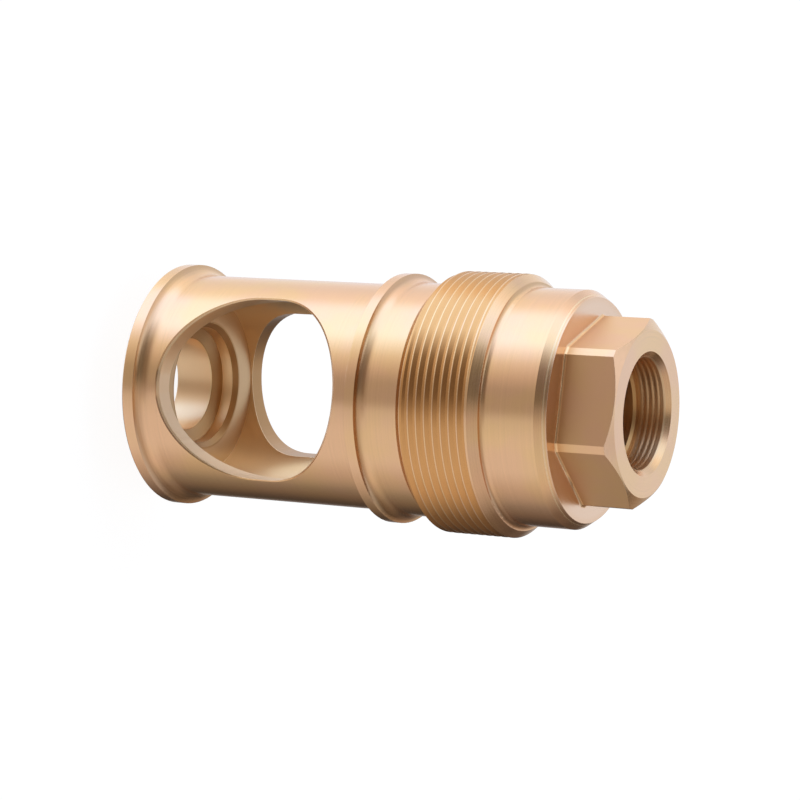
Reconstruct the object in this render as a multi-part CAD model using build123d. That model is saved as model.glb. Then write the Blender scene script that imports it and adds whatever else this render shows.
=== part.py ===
from build123d import *
import math
import os

# A brass body turned from one bar: a flanged tube with a window on each side, a threaded
# collar and a hexagon head with a threaded port. It is one solid.
# Lengths are in millimetres. Z is the turning axis. The origin is the centre of the
# spigot's end face, and the hexagon is at the top. The front window faces -Y.
# The flange and the ridge take their diameters from the thread's root, because both
# pass through the housing's thread when the body is screwed in.

# Spigot behind the flange
spigot_diameter = 20.0
spigot_length = 7.0
spigot_edge = 0.5

# Flange
flange_clearance = 0.19
flange_thickness = 2.3
flange_edge = 0.3
flange_cove = 2.6

# Tube between the flange and the ridge
tube_diameter = 39.3
tube_length = 38.1

# Ridge round the upper end of the tube
ridge_clearance = 0.04
ridge_ramp = 1.1
ridge_width = 1.8
ridge_cove = 1.9

# Plain collar above the ridge, set in from the thread's crests, and the groove that
# the threading tool starts in
collar_step = 2.35
collar_length = 5.3
relief_depth = 0.35
relief_width = 1.3

# External thread, M45 x 1.5, right-handed
thread_diameter = 45.0
thread_pitch = 1.5
thread_flank_angle = 30.0
thread_length = 11.17
thread_chamfer = 1.1
thread_end_angle = 10.0
thread_lead_in_turns = 0.75
thread_runout_turns = 0.5
thread_land = 0.68

# Shoulder above the thread, set in from the thread's crests
shoulder_taper_length = 1.45
shoulder_taper_drop = 1.3
shoulder_cove = 1.0
shoulder_step = 2.25
shoulder_length = 8.6
shoulder_chamfer_length = 1.75
shoulder_chamfer_drop = 1.2

# Hexagon head
hex_across_flats = 28.5
hex_corner_diameter = 32.1
hex_length = 9.85
hex_root = 0.5
hex_crown_diameter = 28.06
hex_crown_angle = 30.0
hex_turn = -8.0

# Stepped bore, from the spigot upwards
inlet_diameter = 16.5
inlet_edge = 0.3
inlet_depth = 7.5
seat_length = 1.0
recess_diameter = 20.8
recess_length = 2.9
recess_edge = 0.8
chamber_diameter = 31.5
chamber_length = 51.6
chamber_cone_angle = 59.0
throat_diameter = 16.5

# Port in the hexagon, minor diameter of an M20 x 1 thread
port_diameter = 18.92
port_depth = 5.7
port_step_diameter = 17.4
port_mouth_diameter = 20.96

# Windows in the tube's wall: a wide one in front and a narrower one behind
front_window_length = 34.3
front_window_width = 31.1
front_window_from_flange = 3.9
front_window_turn = -1.0
back_window_length = 35.6
back_window_width = 25.8
back_window_from_flange = 2.35
back_window_turn = 4.8
window_edge = 0.5

# Heights of the shoulders along the axis
flange_top = spigot_length + flange_thickness
tube_bottom = flange_top + flange_cove
tube_top = tube_bottom + tube_length
ridge_bottom = tube_top + ridge_ramp
ridge_top = ridge_bottom + ridge_width
collar_bottom = ridge_top + ridge_cove
collar_top = collar_bottom + collar_length
relief_top = collar_top + relief_width
thread_bottom = relief_top + thread_chamfer
thread_top = thread_bottom + thread_length
land_top = thread_top + thread_land
taper_top = land_top + shoulder_taper_length
shoulder_bottom = taper_top + shoulder_cove
shoulder_top = shoulder_bottom + shoulder_length
hex_bottom = shoulder_top + shoulder_chamfer_length
hex_top = hex_bottom + hex_length
front_window_bottom = flange_top + front_window_from_flange
back_window_bottom = flange_top + back_window_from_flange

# Profile of the thread, and the radii that follow from it
thread_crest = thread_pitch / 8
thread_root = thread_pitch / 4
thread_slope = math.tan(math.radians(thread_flank_angle))
thread_depth = (thread_pitch - thread_crest - thread_root) / 2 / thread_slope
thread_overcut = thread_crest / 4
root_radius = thread_diameter / 2 - thread_depth
flange_radius = root_radius - flange_clearance
ridge_radius = root_radius - ridge_clearance
collar_radius = thread_diameter / 2 - collar_step
shoulder_radius = thread_diameter / 2 - shoulder_step


def turned(outline):
    """Revolve a closed outline, drawn as radius and height, round the axis."""
    face = Plane.XZ * make_face(outline)
    return revolve(face, axis=Axis.Z)


def cove(narrow, wide):
    """A hollow arc that leaves the narrow cylinder tangent and runs down to the wide one's corner."""
    return TangentArc(narrow, wide, tangent=(0, -1))


def outer_form():
    """Everything outside the bore and below the hexagon, without the thread's groove."""
    spigot = spigot_diameter / 2
    tube = tube_diameter / 2
    relief = collar_radius - relief_depth
    thread = thread_diameter / 2
    taper = thread - shoulder_taper_drop
    low = Polyline(
        (0, 0),
        (spigot - spigot_edge, 0),
        (spigot, spigot_edge),
        (spigot, spigot_length),
        (flange_radius - flange_edge, spigot_length),
        (flange_radius, spigot_length + flange_edge),
        (flange_radius, flange_top),
    )
    flange_root = cove((tube, tube_bottom), (flange_radius, flange_top))
    middle = Polyline(
        (tube, tube_bottom),
        (tube, tube_top),
        (ridge_radius, ridge_bottom),
        (ridge_radius, ridge_top),
    )
    ridge_root = cove((collar_radius, collar_bottom), (ridge_radius, ridge_top))
    threaded = Polyline(
        (collar_radius, collar_bottom),
        (collar_radius, collar_top),
        (relief, collar_top + relief_depth),
        (relief, relief_top),
        (thread - thread_chamfer, relief_top),
        (thread, thread_bottom),
        (thread, land_top),
        (taper, taper_top),
    )
    shoulder_root = cove((shoulder_radius, shoulder_bottom), (taper, taper_top))
    top = Polyline(
        (shoulder_radius, shoulder_bottom),
        (shoulder_radius, shoulder_top),
        (shoulder_radius - shoulder_chamfer_drop, hex_bottom),
        (0, hex_bottom),
        (0, 0),
    )
    return turned([low, flange_root, middle, ridge_root, threaded, shoulder_root, top])


def groove(bottom, turn, height, cone_angle):
    """A stretch of the thread's groove: its section, swept up a right-hand helix."""
    thread = thread_diameter / 2
    half_width = (thread_pitch - thread_crest) / 2 + thread_overcut * thread_slope
    path = Helix(
        pitch=thread_pitch,
        height=height,
        radius=thread,
        center=(0, 0, bottom),
        cone_angle=cone_angle,
    )
    section = Plane(origin=(thread, 0, bottom), x_dir=(1, 0, 0), z_dir=(0, 1, 0)) * make_face(Polyline(
        (thread_overcut, -half_width),
        (thread_overcut, half_width),
        (-thread_depth, thread_root / 2),
        (-thread_depth, -thread_root / 2),
        (thread_overcut, -half_width),
    ))
    return Rot(0, 0, turn) * sweep(section, path=path, is_frenet=True)


def thread_groove():
    """The full groove, which starts in the relief, and its end, which runs out of the metal."""
    start = relief_top - thread_lead_in_turns * thread_pitch
    rise = thread_top - start
    start_turn = thread_end_angle - 360 * rise / thread_pitch
    full = groove(start, start_turn, rise, 0)
    runout_rise = thread_runout_turns * thread_pitch
    runout_lift = thread_depth + 2 * thread_overcut
    runout_cone = math.degrees(math.atan2(runout_lift, runout_rise))
    return [full, groove(thread_top, thread_end_angle, runout_rise, runout_cone)]


def hexagon():
    """Hexagon head with turned corners and a chamfered crown."""
    def prism(across, bottom, height):
        outline = RegularPolygon(across / 2, 6, major_radius=False, rotation=hex_turn)
        return Pos(0, 0, bottom) * extrude(outline, height)

    crown = hex_crown_diameter / 2
    corner = hex_corner_diameter / 2
    crown_height = (corner - crown) * math.tan(math.radians(hex_crown_angle))
    envelope = turned([Polyline(
        (0, hex_bottom),
        (corner, hex_bottom),
        (corner, hex_top - crown_height),
        (crown, hex_top),
        (0, hex_top),
        (0, hex_bottom),
    )])
    return prism(hex_across_flats, hex_bottom, hex_length) & envelope


def bore():
    """The stepped bore from the spigot to the port."""
    inlet = inlet_diameter / 2
    recess = recess_diameter / 2
    chamber = chamber_diameter / 2
    throat = throat_diameter / 2
    port = port_diameter / 2
    step = port_step_diameter / 2
    mouth = port_mouth_diameter / 2
    seat_top = inlet_depth + seat_length
    floor = seat_top + recess_length
    chamber_top = floor + chamber_length
    cone_top = chamber_top + (chamber - throat) / math.tan(math.radians(chamber_cone_angle))
    port_floor = hex_top - port_depth
    outline = Polyline(
        (0, 0),
        (inlet + inlet_edge, 0),
        (inlet, inlet_edge),
        (inlet, inlet_depth),
        (recess, seat_top),
        (recess, floor - recess_edge),
        (recess + recess_edge, floor),
        (chamber, floor),
        (chamber, chamber_top),
        (throat, cone_top),
        (throat, port_floor - (step - throat)),
        (step, port_floor),
        (port, port_floor),
        (port, hex_top - (mouth - port)),
        (mouth, hex_top),
        (0, hex_top),
        (0, 0),
    )
    return turned([outline])


def window(bottom, length, width, side, turn):
    """An obround slot through one wall of the tube. The side is 1 in front and -1 behind."""
    outline = Plane.XZ * Pos(0, bottom + length / 2) * SlotOverall(length, width, rotation=90)
    return Rot(0, 0, turn) * extrude(outline, side * tube_diameter)


def windows():
    """The front and the back window."""
    return [
        window(front_window_bottom, front_window_length, front_window_width, 1, front_window_turn),
        window(back_window_bottom, back_window_length, back_window_width, -1, back_window_turn),
    ]


def window_edges(body):
    """The edges where the windows meet the outside of the tube."""
    tube = tube_diameter / 2
    found = []
    for edge in body.edges():
        points = [edge @ share for share in (0.2, 0.5, 0.8)]
        on_tube = all(abs(math.hypot(point.X, point.Y) - tube) < 0.01 for point in points)
        between_ends = all(tube_bottom + 0.001 < point.Z < tube_top - 0.001 for point in points)
        if on_tube and between_ends and edge.length < tube_length - 0.001:
            found.append(edge)
    return found


def hexagon_root(body):
    """The edges where the hexagon stands on the shoulder's end face."""
    corner = hex_corner_diameter / 2
    found = []
    for edge in body.edges():
        points = [edge @ share for share in (0.0, 0.5, 1.0)]
        level = all(abs(point.Z - hex_bottom) < 0.001 for point in points)
        if level and all(math.hypot(point.X, point.Y) < corner + 0.001 for point in points):
            found.append(edge)
    return found


def turned_body():
    """The whole piece."""
    body = outer_form() - thread_groove()
    body = body + hexagon()
    body = fillet(hexagon_root(body), hex_root)
    body = body - windows()
    body = chamfer(window_edges(body), window_edge)
    return body - bore()


os.makedirs("parts", exist_ok=True)
body = turned_body()
body.label = "turned_body"
export_step(body, "parts/turned_body.step")
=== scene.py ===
import math

import bmesh
import bpy
from mathutils import Matrix, Vector


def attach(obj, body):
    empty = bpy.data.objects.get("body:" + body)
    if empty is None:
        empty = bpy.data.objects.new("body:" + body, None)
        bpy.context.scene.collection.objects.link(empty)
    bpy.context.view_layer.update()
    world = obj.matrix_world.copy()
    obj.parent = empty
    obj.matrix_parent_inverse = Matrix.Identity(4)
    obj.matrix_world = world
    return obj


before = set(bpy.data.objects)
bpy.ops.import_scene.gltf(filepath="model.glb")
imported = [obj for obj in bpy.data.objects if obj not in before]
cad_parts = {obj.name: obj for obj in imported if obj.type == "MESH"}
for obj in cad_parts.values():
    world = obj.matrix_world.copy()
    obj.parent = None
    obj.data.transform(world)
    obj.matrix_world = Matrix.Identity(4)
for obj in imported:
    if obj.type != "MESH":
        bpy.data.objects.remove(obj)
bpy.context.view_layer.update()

# Lengths are in metres. Heights are measured along the turning axis from the spigot's end face,
# and radii from that axis.

# Camera, in the row frame. The photograph shows the part lying on its side, so the camera is
# rolled until the turning axis runs across the picture.
CAMERA_PLACE = Vector((-0.01336, -0.45248, 0.28341))
CAMERA_RIGHT = Vector((-0.05242, 0.4582, 0.8873))
CAMERA_UP = Vector((-0.9983, 0.0, -0.05897))
CAMERA_NEAR = 0.01
CAMERA_FAR = 20.0
LENS_MM = 131.9
SENSOR_MM = 36.0

# The fine thread in the port's wall: each turn is a low ridge, sunk a little into the wall
PORT_RADIUS = 0.00946
PORT_BOTTOM = 0.0916
PORT_TOP = 0.0954
PORT_PITCH = 0.0010
PORT_TURN_HEIGHT = 0.00007
PORT_TURN_WIDTH = 0.00080
PORT_TURN_SUNK = 0.0002
PORT_TURN_STEPS = 96
PORT_FADE_TURNS = 0.4

# Each mask of the brass rises or falls smoothly over a span, given by its two ends.
# Spans of height, from the bottom up:
TUBE_START = (0.0071, 0.0072)
LEDGES_END = (0.0115, 0.0116)
RELIEF_START = (0.0600, 0.0602)
GROOVE_SHADE_START = (0.0611, 0.0617)
RELIEF_END = (0.0614, 0.0615)
DULL_END = (0.0620, 0.0630)
THROAT_START = (0.0630, 0.0670)
GROOVE_SHADE_END = (0.07425, 0.07445)
TUBE_END = (0.0867, 0.0868)
SHOULDER_FACE_START = (0.0869, 0.0870)
ROOT_START = (0.08717, 0.0872)
HEXAGON_START = (0.0872, 0.0873)
SHOULDER_FACE_END = (0.0873, 0.0877)
ROOT_SHADE_END = (0.0873, 0.0891)
ROOT_SHADE_START = (0.0875, 0.0877)
ROOT_END = (0.0876, 0.0877)
PORT_START = (0.0914, 0.0915)
# Spans of radius, from the axis out:
PORT_WALL = (0.00956, 0.00976)
CORNERS_START = (0.01106, 0.01126)
RECESS_EDGE = (0.0113, 0.0117)
HEXAGON_OUTSIDE = (0.0120, 0.0122)
CHAMBER_WALL = (0.0158, 0.0159)
FOOT_END = (0.0178, 0.0190)
THREAD_OUTSIDE = (0.0190, 0.0200)
TUBE_WALL = (0.0194, 0.0195)
GROOVE_DEPTH = (0.02242, 0.02249)
# Span of Y, from the front to the back:
BACK_START = (0.004, 0.006)
# Spans of the normal's upward part:
UPRIGHT_SLOPE = (0.25, 0.35)
UPWARD_SLOPE = (0.3, 0.5)
END_FACE_SLOPE = (0.8, 0.9)

# The coves: the height of each one's foot, and how far up its painted shade fades out
COVES = ((0.0093, 0.0009), (0.0529, 0.0008), (0.0758, 0.0006))
COVE_EDGE = 0.00002

# Brass: two tints of the fresh metal; a lighter brass for the windows' walls, the port and the
# chamber's wall, as painted light; the shoulder's end face, paler near the hexagon, as painted
# light; and the fillet at the hexagon's root as a painted highlight
BRASS_PINK = (0.90, 0.55, 0.33)
BRASS_YELLOW = (0.90, 0.575, 0.295)
BRASS_INSIDE_PAINTED_LIGHT = (1.0, 0.71, 0.43)
BRASS_CHAMBER_PAINTED_LIGHT = (1.0, 0.735, 0.43)
BRASS_FACE_PAINTED_LIGHT = (0.90, 0.59, 0.37)
BRASS_FOOT_PAINTED_LIGHT = (0.92, 0.63, 0.42)
BRASS_ROOT_PAINTED_HIGHLIGHT = (1.0, 0.62, 0.32)
PATCH_SCALE = 70.0
PATCH_SPAN = (0.36, 0.64)

# Tool marks, and what they do to the metal's brightness and roughness
WIDE_LINES = 2600.0
FINE_LINES = 11000.0
FINE_SHARE = 0.6
GRAIN_SCALE = 900.0
SHADE_SPAN = (0.55, 1.05)
TURNED_SHADE = (0.965, 1.02)
MILLED_SHADE = 1.03
ROUGH_SPAN = (0.5, 1.1)
TURNED_ROUGHNESS = (0.19, 0.26)
MILLED_ROUGHER = 0.20
INSIDE_ROUGHER = 0.14
MARK_STRENGTH = 0.03
MARK_DEPTH = 0.0001
ANISOTROPY = 0.75
ANISOTROPY_TURN = 0.25
DULL_SHARE = 0.22

# Painted shade, as its brown colour and its share in each place
PAINTED_SHADE_BROWN = (0.50, 0.26, 0.09)
RECESS_SHADE = 0.9
LEDGE_SHADE = 0.60
BACK_WALL_SHADE = 0.95
RELIEF_SHADE = 0.1
COVE_SHADE = 0.40
ROOT_SHADE = 0.28
THROAT_SHADE = 0.9
PORT_SHADE = 0.35

# The painted shade in the outside thread's grooves: its colour, and how the normals lean where it
# lies
GROOVE_PAINTED_SHADE = (0.74, 0.38, 0.145)
GROOVE_LEAN_RISE = 0.0055
GROOVE_LEAN = 2.0

# Edges are shaded as rounded by this radius
EDGE_RADIUS = 0.00010
EDGE_SAMPLES = 6

# The slope round the axis that counts as a facet's error, as a sine: all of it up to the first
# value, none from the second
FACET_DRIFT = (0.08, 0.12)

# Light round the part, as softboxes and the gaps between them: the angle from the front, in
# degrees, growing from -Y towards +X, then the strength there and the light's colour. There is
# one ring for what lies below the part's middle, one a little above and one high up.
PLAIN = (1.0, 1.0, 1.0)
PALE = (0.97, 1.0, 1.05)
COOL = (0.89, 1.0, 1.20)
BRIGHT = (0.82, 1.04, 1.42)
WARM = (1.08, 1.0, 0.93)
HOT = (1.25, 1.0, 0.82)
LOW_RING = (
    (-180, 1.00, COOL),
    (-150, 0.98, PALE),
    (-136, 0.94, PALE),
    (-112, 1.12, PALE),
    (-98, 1.50, BRIGHT),
    (-64, 1.58, BRIGHT),
    (-52, 1.22, COOL),
    (-42, 0.88, PLAIN),
    (-28, 0.60, WARM),
    (-16, 0.42, WARM),
    (4, 0.41, WARM),
    (13, 0.66, PLAIN),
    (34, 0.76, PLAIN),
    (66, 0.76, PLAIN),
    (88, 0.52, WARM),
    (99, 0.42, WARM),
    (112, 0.25, WARM),
    (126, 0.15, HOT),
    (140, 0.07, HOT),
    (156, 0.04, HOT),
    (168, 0.45, PLAIN),
    (180, 1.00, COOL),
)
MIDDLE_RING = (
    (-180, 0.90, COOL),
    (-150, 0.86, COOL),
    (-134, 0.80, COOL),
    (-112, 1.15, PALE),
    (-98, 1.50, BRIGHT),
    (-68, 1.45, BRIGHT),
    (-56, 0.90, COOL),
    (-42, 0.30, WARM),
    (-24, 0.16, HOT),
    (-4, 0.17, HOT),
    (10, 0.42, WARM),
    (24, 0.70, PLAIN),
    (60, 0.78, PLAIN),
    (84, 0.66, WARM),
    (100, 0.38, WARM),
    (116, 0.14, HOT),
    (142, 0.08, HOT),
    (156, 0.30, HOT),
    (168, 0.80, PLAIN),
    (180, 0.90, COOL),
)
HIGH_RING = (
    (-180, 1.00, COOL),
    (-140, 0.95, COOL),
    (-114, 1.00, PALE),
    (-92, 1.20, BRIGHT),
    (-74, 1.00, COOL),
    (-60, 0.26, WARM),
    (-40, 0.16, WARM),
    (-10, 0.16, WARM),
    (6, 0.34, WARM),
    (20, 0.50, WARM),
    (50, 0.58, PLAIN),
    (80, 0.48, WARM),
    (106, 0.45, WARM),
    (122, 0.80, COOL),
    (180, 1.00, COOL),
)
# Where one ring gives way to the next, as the upward part of the direction
LOW_TO_MIDDLE = (-0.25, 0.35)
MIDDLE_TO_HIGH = (0.42, 0.85)
# The ramps hold the rings divided by this, and the world's strength makes up for it
RING_SCALE = 2.0

# Background and floor
WHITE = (1.0, 1.0, 1.0, 1.0)
FLOOR_PAINT = (0.9, 0.9, 0.9, 1.0)
FLOOR_GLOW = 1.12
FLOOR_GLOW_SHARE = 0.82
FLOOR_HALF = 3.0
FLOOR_DROP = 0.00005


def place_camera():
    """The photograph's view: from the hexagon's side, looking down on the standing part."""
    data = bpy.data.cameras.new("camera")
    data.sensor_fit = "HORIZONTAL"
    data.sensor_width = SENSOR_MM
    data.lens = LENS_MM
    data.clip_start = CAMERA_NEAR
    data.clip_end = CAMERA_FAR
    camera = bpy.data.objects.new("camera", data)
    bpy.context.scene.collection.objects.link(camera)
    right = CAMERA_RIGHT.normalized()
    back = right.cross(CAMERA_UP).normalized()
    up = back.cross(right)
    turn = Matrix((right, up, back)).transposed().to_4x4()
    camera.matrix_world = Matrix.Translation(CAMERA_PLACE) @ turn
    bpy.context.scene.camera = camera


class Graph:
    """A node tree with short ways to add nodes and sums."""

    def __init__(self, tree):
        self.nodes = tree.nodes
        self.links = tree.links

    def add(self, kind, **inputs):
        """Add a node. Each keyword names an input and gives its value, or a socket to feed it."""
        node = self.nodes.new(kind)
        for name, value in inputs.items():
            self.feed(node.inputs[name.replace("_", " ")], value)
        return node

    def feed(self, socket, value):
        """Link a socket to an input, or set the input's own value."""
        if isinstance(value, bpy.types.NodeSocket):
            self.links.new(value, socket)
        else:
            socket.default_value = value

    def math(self, operation, first, second=0.0):
        """A sum of two numbers."""
        node = self.nodes.new("ShaderNodeMath")
        node.operation = operation
        self.feed(node.inputs[0], first)
        self.feed(node.inputs[1], second)
        return node.outputs[0]

    def product(self, *values):
        """Several numbers, multiplied."""
        total = values[0]
        for value in values[1:]:
            total = self.math("MULTIPLY", total, value)
        return total

    def largest(self, *values):
        """The largest of several numbers."""
        total = values[0]
        for value in values[1:]:
            total = self.math("MAXIMUM", total, value)
        return total

    def rest(self, share):
        """What a share leaves of one."""
        return self.math("SUBTRACT", 1.0, share)

    def vector(self, operation, first, second=None, scale=None):
        """A sum of two vectors, or a vector times a number."""
        node = self.add("ShaderNodeVectorMath", Vector=first)
        node.operation = operation
        if second is not None:
            self.feed(node.inputs[1], second)
        if scale is not None:
            self.feed(node.inputs["Scale"], scale)
        return node.outputs["Value" if operation in ("DOT_PRODUCT", "LENGTH") else "Vector"]

    def split(self, vector):
        """The three parts of a vector."""
        return tuple(self.add("ShaderNodeSeparateXYZ", Vector=vector).outputs)

    def to_world(self, x, y, z=0.0):
        """A direction in the object's own axes, turned to the world's and made one long."""
        direction = self.add("ShaderNodeCombineXYZ", X=x, Y=y, Z=z)
        turn = self.add("ShaderNodeVectorTransform", Vector=direction.outputs[0])
        turn.vector_type = "NORMAL"
        turn.convert_from = "OBJECT"
        turn.convert_to = "WORLD"
        return turn.outputs[0]

    def blend(self, share, first, second, mode="MIX"):
        """Mix two colours by a share."""
        node = self.nodes.new("ShaderNodeMix")
        node.data_type = "RGBA"
        node.blend_type = mode
        for name, value in (("Factor", share), ("A", first), ("B", second)):
            socket = next(one for one in node.inputs if one.name == name and one.enabled)
            if isinstance(value, tuple):
                value = (*value, 1.0)
            self.feed(socket, value)
        return next(one for one in node.outputs if one.enabled)

    def mix_shaders(self, share, first, second):
        """Mix two shader nodes by a share."""
        node = self.add("ShaderNodeMixShader", Fac=share)
        self.feed(node.inputs[1], first.outputs[0])
        self.feed(node.inputs[2], second.outputs[0])
        return node.outputs[0]

    def step(self, value, span, start=0.0, end=1.0):
        """A smooth step over a span, from the value at its start to the one at its end."""
        node = self.nodes.new("ShaderNodeMapRange")
        node.interpolation_type = "SMOOTHSTEP"
        low, high = span
        settings = {"From Min": low, "From Max": high, "To Min": start, "To Max": end}
        for name, number in settings.items():
            node.inputs[name].default_value = number
        self.links.new(value, node.inputs["Value"])
        return node.outputs[0]

    def fall(self, value, span):
        """A smooth step down, from one to zero."""
        return self.step(value, span, 1.0, 0.0)

    def between(self, value, start, end):
        """A mask that rises over one span and falls over the other."""
        return self.product(self.step(value, start), self.fall(value, end))

    def ramp(self, value, stops):
        """A colour ramp from (position, colour) pairs."""
        node = self.nodes.new("ShaderNodeValToRGB")
        elements = node.color_ramp.elements
        while len(elements) < len(stops):
            elements.new(0.5)
        for element, (position, colour) in zip(elements, stops):
            element.position = position
            element.color = (*colour, 1.0)
        self.links.new(value, node.inputs[0])
        return node.outputs[0]

    def lines(self, along, scale, **settings):
        """Noise that changes in one direction only."""
        node = self.add("ShaderNodeTexNoise", Scale=1.0, **settings)
        node.noise_dimensions = "1D"
        self.feed(node.inputs["W"], self.product(along, scale))
        return node.outputs[0]

    def sees_background(self):
        """One for rays from the camera and through clear material, zero for the others."""
        path = self.add("ShaderNodeLightPath")
        return self.largest(path.outputs["Is Camera Ray"], path.outputs["Is Transmission Ray"])


def light_world():
    """Soft studio light: rings of softboxes round the part, which the metal mirrors.

    The background is white, and the metal doesn't mirror it.
    """
    world = bpy.data.worlds.new("studio")
    bpy.context.scene.world = world
    world.use_nodes = True
    world.node_tree.nodes.clear()
    graph = Graph(world.node_tree)
    x, y, z = graph.split(graph.add("ShaderNodeTexCoord").outputs["Generated"])
    angle = graph.math("ARCTAN2", x, graph.product(y, -1.0))
    share = graph.math("ADD", graph.product(angle, 0.5 / math.pi), 0.5)

    def ring(stops):
        return graph.ramp(share, [
            ((degrees + 180) / 360, tuple(strength * part / RING_SCALE for part in tint))
            for degrees, strength, tint in stops
        ])

    light = graph.blend(graph.step(z, LOW_TO_MIDDLE), ring(LOW_RING), ring(MIDDLE_RING))
    light = graph.blend(graph.step(z, MIDDLE_TO_HIGH), light, ring(HIGH_RING))
    lit = graph.add("ShaderNodeBackground", Color=light, Strength=RING_SCALE)
    white = graph.add("ShaderNodeBackground", Color=WHITE, Strength=1.0)
    surface = graph.mix_shaders(graph.sees_background(), lit, white)
    graph.add("ShaderNodeOutputWorld", Surface=surface)


def lay_floor():
    """A plain white floor that keeps a faint shadow. The metal doesn't mirror it."""
    half = FLOOR_HALF
    mesh = bpy.data.meshes.new("floor")
    corners = [(-half, -half, 0), (half, -half, 0), (half, half, 0), (-half, half, 0)]
    mesh.from_pydata(corners, [], [(0, 1, 2, 3)])
    floor = bpy.data.objects.new("floor", mesh)
    bpy.context.scene.collection.objects.link(floor)
    floor.location.z = -FLOOR_DROP
    floor.visible_glossy = False
    material = bpy.data.materials.new("floor_white")
    material.use_nodes = True
    material.node_tree.nodes.clear()
    graph = Graph(material.node_tree)
    matt = graph.add("ShaderNodeBsdfDiffuse", Color=FLOOR_PAINT)
    glow = graph.add("ShaderNodeEmission", Color=WHITE, Strength=FLOOR_GLOW)
    share = graph.product(graph.sees_background(), FLOOR_GLOW_SHARE)
    surface = graph.mix_shaders(share, matt, glow)
    graph.add("ShaderNodeOutputMaterial", Surface=surface)
    mesh.materials.append(material)


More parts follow.
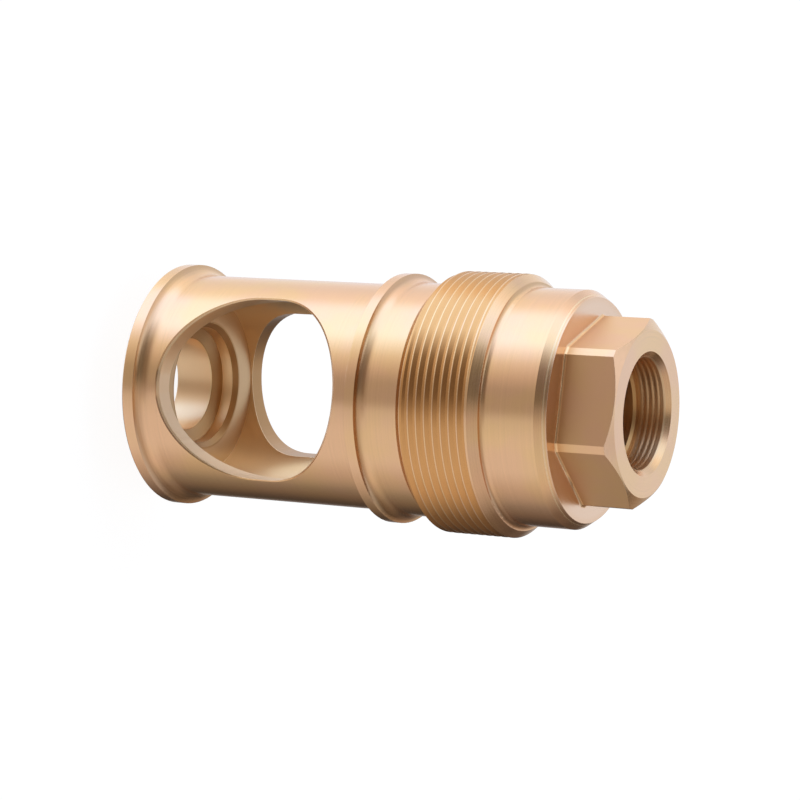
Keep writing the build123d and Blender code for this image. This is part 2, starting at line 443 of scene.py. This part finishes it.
class Brass:
    """The brass, with masks by the place on the part and by the way the surface faces."""

    def __init__(self):
        self.material = bpy.data.materials.new("turned_brass")
        self.material.use_nodes = True
        self.graph = graph = Graph(self.material.node_tree)
        self.place = graph.add("ShaderNodeTexCoord").outputs["Object"]
        self.x, self.y, self.height = graph.split(self.place)
        flat = graph.add("ShaderNodeCombineXYZ", X=self.x, Y=self.y)
        self.radius = graph.vector("LENGTH", flat.outputs[0])
        facing = graph.add("ShaderNodeNewGeometry").outputs["True Normal"]
        self.upward = graph.split(facing)[2]
        self.slope = graph.math("ABSOLUTE", self.upward)

        # The hexagon's flats are milled, the rest is turned
        self.milled = graph.product(
            graph.step(self.height, HEXAGON_START),
            graph.step(self.radius, HEXAGON_OUTSIDE),
            graph.fall(self.slope, UPRIGHT_SLOPE),
        )
        self.turned = graph.rest(self.milled)

        # The inside: the tube with its windows' walls, and the throat and the port
        self.in_tube = graph.product(
            graph.fall(self.radius, TUBE_WALL),
            graph.between(self.height, TUBE_START, TUBE_END),
        )
        self.in_wall = graph.step(self.radius, CHAMBER_WALL)
        self.in_port = graph.fall(self.radius, PORT_WALL)
        self.inside = graph.largest(self.in_tube, self.in_port)

    def tool_lines(self):
        """Lines round the axis, told apart by height, and by radius on the end faces."""
        graph = self.graph
        across = graph.step(self.slope, END_FACE_SLOPE)
        by_radius = graph.product(self.radius, across)
        by_height = graph.product(self.height, graph.rest(across))
        along = graph.math("ADD", by_radius, by_height)
        wide = graph.lines(along, WIDE_LINES, Detail=2.0, Roughness=0.6)
        fine = graph.lines(along, FINE_LINES, Detail=1.0)
        lines = graph.math("ADD", wide, graph.product(fine, FINE_SHARE))
        return graph.product(lines, self.turned)

    def colour_before_shade(self, lines):
        """The metal's colour before the painted shade, with painted light and a painted
        highlight.
        """
        graph = self.graph

        # A slow change of tint, and a small change of brightness from line to line
        patches = graph.add("ShaderNodeTexNoise", Vector=self.place, Scale=PATCH_SCALE,
                            Detail=3.0, Roughness=0.55)
        clouds = graph.step(patches.outputs[0], PATCH_SPAN)
        colour = graph.blend(clouds, BRASS_YELLOW, BRASS_PINK)
        shade = graph.math(
            "ADD",
            graph.product(graph.step(lines, SHADE_SPAN, *TURNED_SHADE), self.turned),
            graph.product(self.milled, MILLED_SHADE),
        )
        tone = graph.add("ShaderNodeCombineXYZ", X=shade, Y=shade, Z=shade)
        colour = graph.blend(1.0, colour, tone.outputs[0], "MULTIPLY")

        # Painted light on the shoulder's end face: paler, and lightest near the hexagon
        face_painted_light = graph.between(self.height, SHOULDER_FACE_START, SHOULDER_FACE_END)
        foot_painted_light = graph.fall(self.radius, FOOT_END)
        colour = graph.blend(face_painted_light, colour, graph.blend(foot_painted_light, BRASS_FACE_PAINTED_LIGHT, BRASS_FOOT_PAINTED_LIGHT))
        # Painted highlight: the fillet at the hexagon's root is a light orange line
        root_painted_highlight = graph.between(self.height, ROOT_START, ROOT_END)
        colour = graph.blend(root_painted_highlight, colour, BRASS_ROOT_PAINTED_HIGHLIGHT)

        # Painted light: a lighter brass inside, and on the chamber's own wall
        colour = graph.blend(self.inside, colour, BRASS_INSIDE_PAINTED_LIGHT)
        chamber_painted_light = graph.product(self.in_tube, graph.rest(self.in_wall))
        return graph.blend(chamber_painted_light, colour, BRASS_CHAMBER_PAINTED_LIGHT)

    def painted_shade(self):
        """The share of painted shade, brown, in hollows, corners and on the back window's wall.
        """
        graph = self.graph

        # Painted shade on the ledges at the bottom of the chamber, darkest in the recess
        ledge_shade = graph.product(
            graph.step(self.radius, RECESS_EDGE, RECESS_SHADE, LEDGE_SHADE),
            self.in_tube,
            graph.step(self.upward, UPWARD_SLOPE),
            graph.fall(self.height, LEDGES_END),
        )

        # Painted shade on the wall of the back window
        back_wall_shade = graph.product(
            graph.step(self.y, BACK_START, 0.0, BACK_WALL_SHADE),
            self.in_wall,
            self.in_tube,
        )

        # Painted shade in the outside corners: the relief below the thread, the feet of the
        # coves, and the lower ends of the hexagon's flats
        corners = [graph.product(
            graph.step(self.height, RELIEF_START, 0.0, RELIEF_SHADE),
            graph.fall(self.height, RELIEF_END),
        )]
        for foot, fade in COVES:
            corners.append(graph.product(
                graph.step(self.height, (foot, foot + COVE_EDGE), 0.0, COVE_SHADE),
                graph.fall(self.height, (foot, foot + fade)),
            ))
        corners.append(graph.product(
            graph.step(self.height, ROOT_SHADE_END, ROOT_SHADE, 0.0),
            graph.step(self.height, ROOT_SHADE_START),
        ))
        outside = graph.step(self.radius, CORNERS_START)
        corner_shade = graph.product(graph.largest(*corners), outside)

        # Painted shade in the throat, and less in the port
        throat_shade = graph.product(
            graph.step(self.height, PORT_START, THROAT_SHADE, PORT_SHADE),
            graph.step(self.height, THROAT_START),
            self.in_port,
        )
        return graph.largest(ledge_shade, back_wall_shade, corner_shade, throat_shade)

    def groove_shade(self):
        """The share of painted shade in the grooves of the outside thread."""
        graph = self.graph
        return graph.product(
            graph.fall(self.radius, GROOVE_DEPTH),
            graph.between(self.height, GROOVE_SHADE_START, GROOVE_SHADE_END),
            graph.step(self.radius, THREAD_OUTSIDE),
        )

    def roughness(self, lines):
        """It changes from line to line. The milled flats and the inside are rougher."""
        graph = self.graph
        rough = graph.step(lines, ROUGH_SPAN, *TURNED_ROUGHNESS)
        rough = graph.math("ADD", rough, graph.product(self.milled, MILLED_ROUGHER))
        return graph.math("ADD", rough, graph.product(self.inside, INSIDE_ROUGHER))

    def normal(self, groove_shade):
        """The normal without the tool marks, with the edges rounded."""
        graph = self.graph
        bevel = graph.add("ShaderNodeBevel", Radius=EDGE_RADIUS)
        bevel.samples = EDGE_SAMPLES
        rounded = bevel.outputs[0]

        # A turned surface has no slope round the axis, so what its facets show of one is
        # taken away
        sideways = graph.to_world(graph.product(self.y, -1.0), self.x)
        drift = graph.vector("DOT_PRODUCT", rounded, sideways)
        small = graph.fall(graph.math("ABSOLUTE", drift), FACET_DRIFT)
        taken = graph.product(drift, small, self.turned)
        normal = graph.vector("SUBTRACT", rounded, graph.vector("SCALE", sideways, scale=taken))

        # Where the painted shade lies in the thread's grooves, the flanks' normals lean outwards
        # and a little upwards
        outward = graph.to_world(self.x, self.y, GROOVE_LEAN_RISE)
        lean = graph.vector("SCALE", outward, scale=graph.product(groove_shade, GROOVE_LEAN))
        return graph.vector("NORMALIZE", graph.vector("ADD", normal, lean))

    def dullness(self):
        """How far the metal is from a clean mirror: a little in the chamber and the windows."""
        fade = self.graph.step(self.height, DULL_END, DULL_SHARE, 0.0)
        return self.graph.product(self.inside, fade)


def turned_brass():
    """Brass with fine tool marks round the turning axis, painted shade in grooves, hollows and
    corners, and painted light.
    """
    brass = Brass()
    graph = brass.graph
    lines = brass.tool_lines()
    groove_shade = brass.groove_shade()
    # Painted shade in hollows and corners, then in the thread's grooves
    colour = graph.blend(brass.painted_shade(), brass.colour_before_shade(lines), PAINTED_SHADE_BROWN)
    colour = graph.blend(groove_shade, colour, GROOVE_PAINTED_SHADE)
    grain = graph.add("ShaderNodeTexNoise", Vector=brass.place, Scale=GRAIN_SCALE, Detail=2.0)
    marks = graph.math("ADD", lines, graph.product(grain.outputs[0], brass.milled))
    bump = graph.add("ShaderNodeBump", Height=marks, Normal=brass.normal(groove_shade),
                     Strength=MARK_STRENGTH, Distance=MARK_DEPTH)
    tangent = graph.add("ShaderNodeTangent")
    tangent.direction_type = "RADIAL"
    tangent.axis = "Z"
    settings = {
        "Base Color": colour,
        "Metallic": graph.rest(brass.dullness()),
        "Roughness": brass.roughness(lines),
        "Normal": bump.outputs[0],
        "Anisotropic": ANISOTROPY,
        "Anisotropic Rotation": ANISOTROPY_TURN,
        "Tangent": tangent.outputs[0],
    }
    shader = graph.nodes["Principled BSDF"]
    for name, value in settings.items():
        graph.feed(shader.inputs[name], value)
    return brass.material


def port_thread():
    """The turns inside the port: one ridge that winds up the wall and fades out at both ends."""
    turns = (PORT_TOP - PORT_BOTTOM) / PORT_PITCH
    count = int(PORT_TURN_STEPS * turns)
    fade_steps = PORT_FADE_TURNS * PORT_TURN_STEPS
    sunk = PORT_RADIUS + PORT_TURN_SUNK
    mesh = bmesh.new()
    rows = []
    for index in range(count + 1):
        angle = 2 * math.pi * index / PORT_TURN_STEPS
        height = PORT_BOTTOM + PORT_PITCH * index / PORT_TURN_STEPS
        fade = min(1.0, index / fade_steps, (count - index) / fade_steps)
        crest = PORT_RADIUS - PORT_TURN_HEIGHT * fade
        section = (
            (sunk, -PORT_TURN_WIDTH / 2),
            (PORT_RADIUS, -PORT_TURN_WIDTH / 2),
            (crest, -PORT_TURN_WIDTH / 8),
            (crest, PORT_TURN_WIDTH / 8),
            (PORT_RADIUS, PORT_TURN_WIDTH / 2),
            (sunk, PORT_TURN_WIDTH / 2),
        )
        rows.append([
            mesh.verts.new((radius * math.cos(angle), radius * math.sin(angle), height + rise))
            for radius, rise in section
        ])
    for first, second in zip(rows, rows[1:]):
        for side in range(len(first)):
            other = (side + 1) % len(first)
            mesh.faces.new((first[side], second[side], second[other], first[other]))
    mesh.faces.new(rows[0])
    mesh.faces.new(rows[-1][::-1])
    bmesh.ops.recalc_face_normals(mesh, faces=mesh.faces)
    data = bpy.data.meshes.new("port_thread")
    mesh.to_mesh(data)
    mesh.free()
    piece = bpy.data.objects.new("port_thread", data)
    bpy.context.scene.collection.objects.link(piece)
    data.materials.append(bpy.data.materials["turned_brass"])
    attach(piece, "root")


place_camera()
light_world()
lay_floor()
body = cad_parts["turned_body"]
body.data.materials.clear()
body.data.materials.append(turned_brass())
port_thread()

scene = bpy.context.scene
scene.view_settings.view_transform = "Standard"

bpy.context.view_layer.update()
